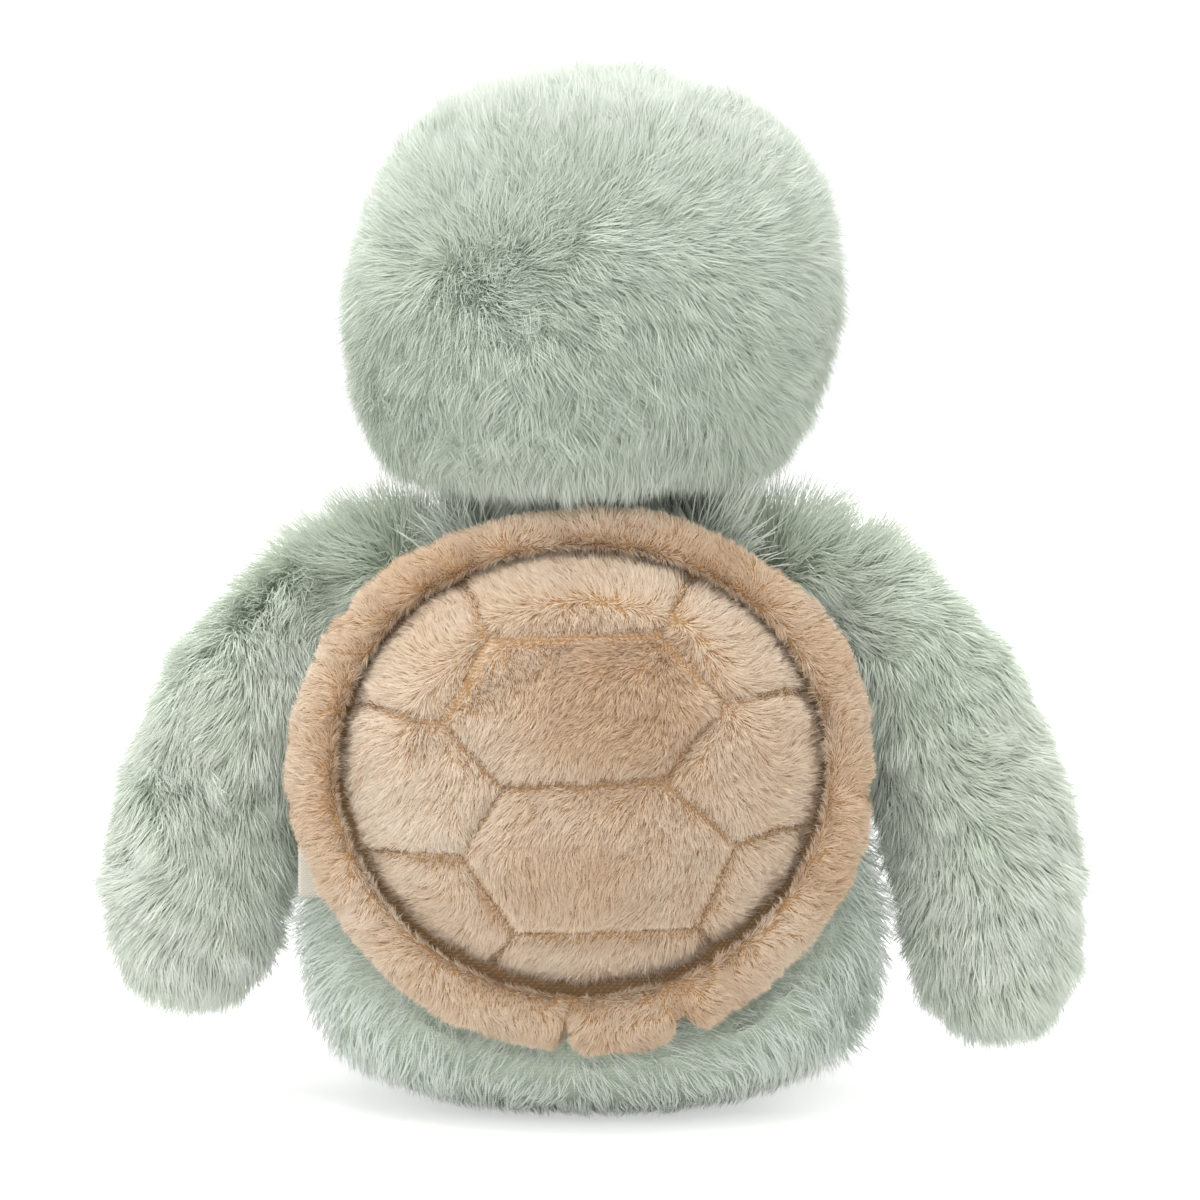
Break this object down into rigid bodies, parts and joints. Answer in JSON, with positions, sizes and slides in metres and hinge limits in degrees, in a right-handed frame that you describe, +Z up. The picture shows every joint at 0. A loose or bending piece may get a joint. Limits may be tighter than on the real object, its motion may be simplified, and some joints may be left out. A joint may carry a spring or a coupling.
{
  "type": "plush turtle",
  "caption": "Seated plush turtle with a soft pile body, a quilted padded shell with a rolled rim, sewn arms and legs, and a head on a sewn neck.",
  "frame": {"origin": "on the ground under the middle of the seat", "axes": "+Z up, the face looks along -Y and the shell faces +Y, the toy's left is +X"},
  "size_m": [0.2694, 0.1937, 0.2817],
  "materials": {
    "sage_long_pile": "long sage green pile, brushed",
    "sage_body_pile": "shorter sage green pile",
    "beige_pile": "short beige pile",
    "cream_pile": "short cream pile",
    "fibre_fill": "polyester fibre filling",
    "backing_cloth": "plain woven cloth",
    "ribbon_cloth": "bare woven ribbon",
    "pellets": "small plastic pellets",
    "eye_plastic": "polished dark brown",
    "washer_plastic": "moulded",
    "face_thread": "brown embroidery thread",
    "seam_thread": "sage sewing thread"
  },
  "bodies": {
    "torso": {"body_back_cover": "sage_body_pile", "belly_panel": "cream_pile", "body_stuffing": "fibre_fill", "bean_pouch": "backing_cloth", "pellet_fill": "pellets", "shell_dome_cover": "beige_pile", "shell_stuffing": "fibre_fill", "shell_backing": "backing_cloth", "shell_rim_cover": "beige_pile", "shell_rim_fill": "fibre_fill", "care_label": "ribbon_cloth"},
    "neck_seam": {"neck_seam_ring": "seam_thread"},
    "head": {"head_cover": "sage_long_pile", "muzzle_cover": "cream_pile", "head_stuffing": "fibre_fill", "mouth_stitch": "face_thread", "left_eye": "eye_plastic", "left_eye_washer": "washer_plastic", "left_nostril_stitch": "face_thread", "right_eye": "eye_plastic", "right_eye_washer": "washer_plastic", "right_nostril_stitch": "face_thread"},
    "left_shoulder_seam": {"left_shoulder_ring": "seam_thread"},
    "left_arm": {"left_arm_cover": "sage_long_pile", "left_arm_stuffing": "fibre_fill"},
    "right_shoulder_seam": {"right_shoulder_ring": "seam_thread"},
    "right_arm": {"right_arm_cover": "sage_long_pile", "right_arm_stuffing": "fibre_fill"},
    "left_leg": {"left_leg_cover": "sage_long_pile", "left_leg_stuffing": "fibre_fill"},
    "right_leg": {"right_leg_cover": "sage_long_pile", "right_leg_stuffing": "fibre_fill"}
  },
  "joints": [
    {"name": "neck_turn", "type": "hinge", "parent": "torso", "child": "neck_seam", "pos_m": [0, -0.005, 0.174], "axis": [0, 0, 1], "range_deg": [-40, 30], "stiffness_Nm_per_rad": 0.6},
    {"name": "neck_nod", "type": "hinge", "parent": "neck_seam", "child": "head", "pos_m": [0, -0.005, 0.174], "axis": [0.9877, 0.1564, 0], "range_deg": [-3, 12], "stiffness_Nm_per_rad": 1.2},
    {"name": "left_shoulder_swing", "type": "hinge", "parent": "torso", "child": "left_shoulder_seam", "pos_m": [0.051, -0.009, 0.136], "axis": [-1, 0, 0], "range_deg": [-5, 60], "stiffness_Nm_per_rad": 0.2},
    {"name": "left_shoulder_lift", "type": "hinge", "parent": "left_shoulder_seam", "child": "left_arm", "pos_m": [0.051, -0.009, 0.136], "axis": [0, -1, 0], "range_deg": [0, 32], "stiffness_Nm_per_rad": 0.3},
    {"name": "right_shoulder_swing", "type": "hinge", "parent": "torso", "child": "right_shoulder_seam", "pos_m": [-0.051, -0.009, 0.136], "axis": [-1, 0, 0], "range_deg": [-5, 60], "stiffness_Nm_per_rad": 0.2},
    {"name": "right_shoulder_lift", "type": "hinge", "parent": "right_shoulder_seam", "child": "right_arm", "pos_m": [-0.051, -0.009, 0.136], "axis": [0, 1, 0], "range_deg": [0, 32], "stiffness_Nm_per_rad": 0.3},
    {"name": "left_hip_swing", "type": "hinge", "parent": "torso", "child": "left_leg", "pos_m": [0.04, -0.036, 0.027], "axis": [-1, 0, 0], "range_deg": [-8, 15], "stiffness_Nm_per_rad": 0.2},
    {"name": "right_hip_swing", "type": "hinge", "parent": "torso", "child": "right_leg", "pos_m": [-0.04, -0.036, 0.027], "axis": [-1, 0, 0], "range_deg": [-8, 15], "stiffness_Nm_per_rad": 0.2}
  ]
}
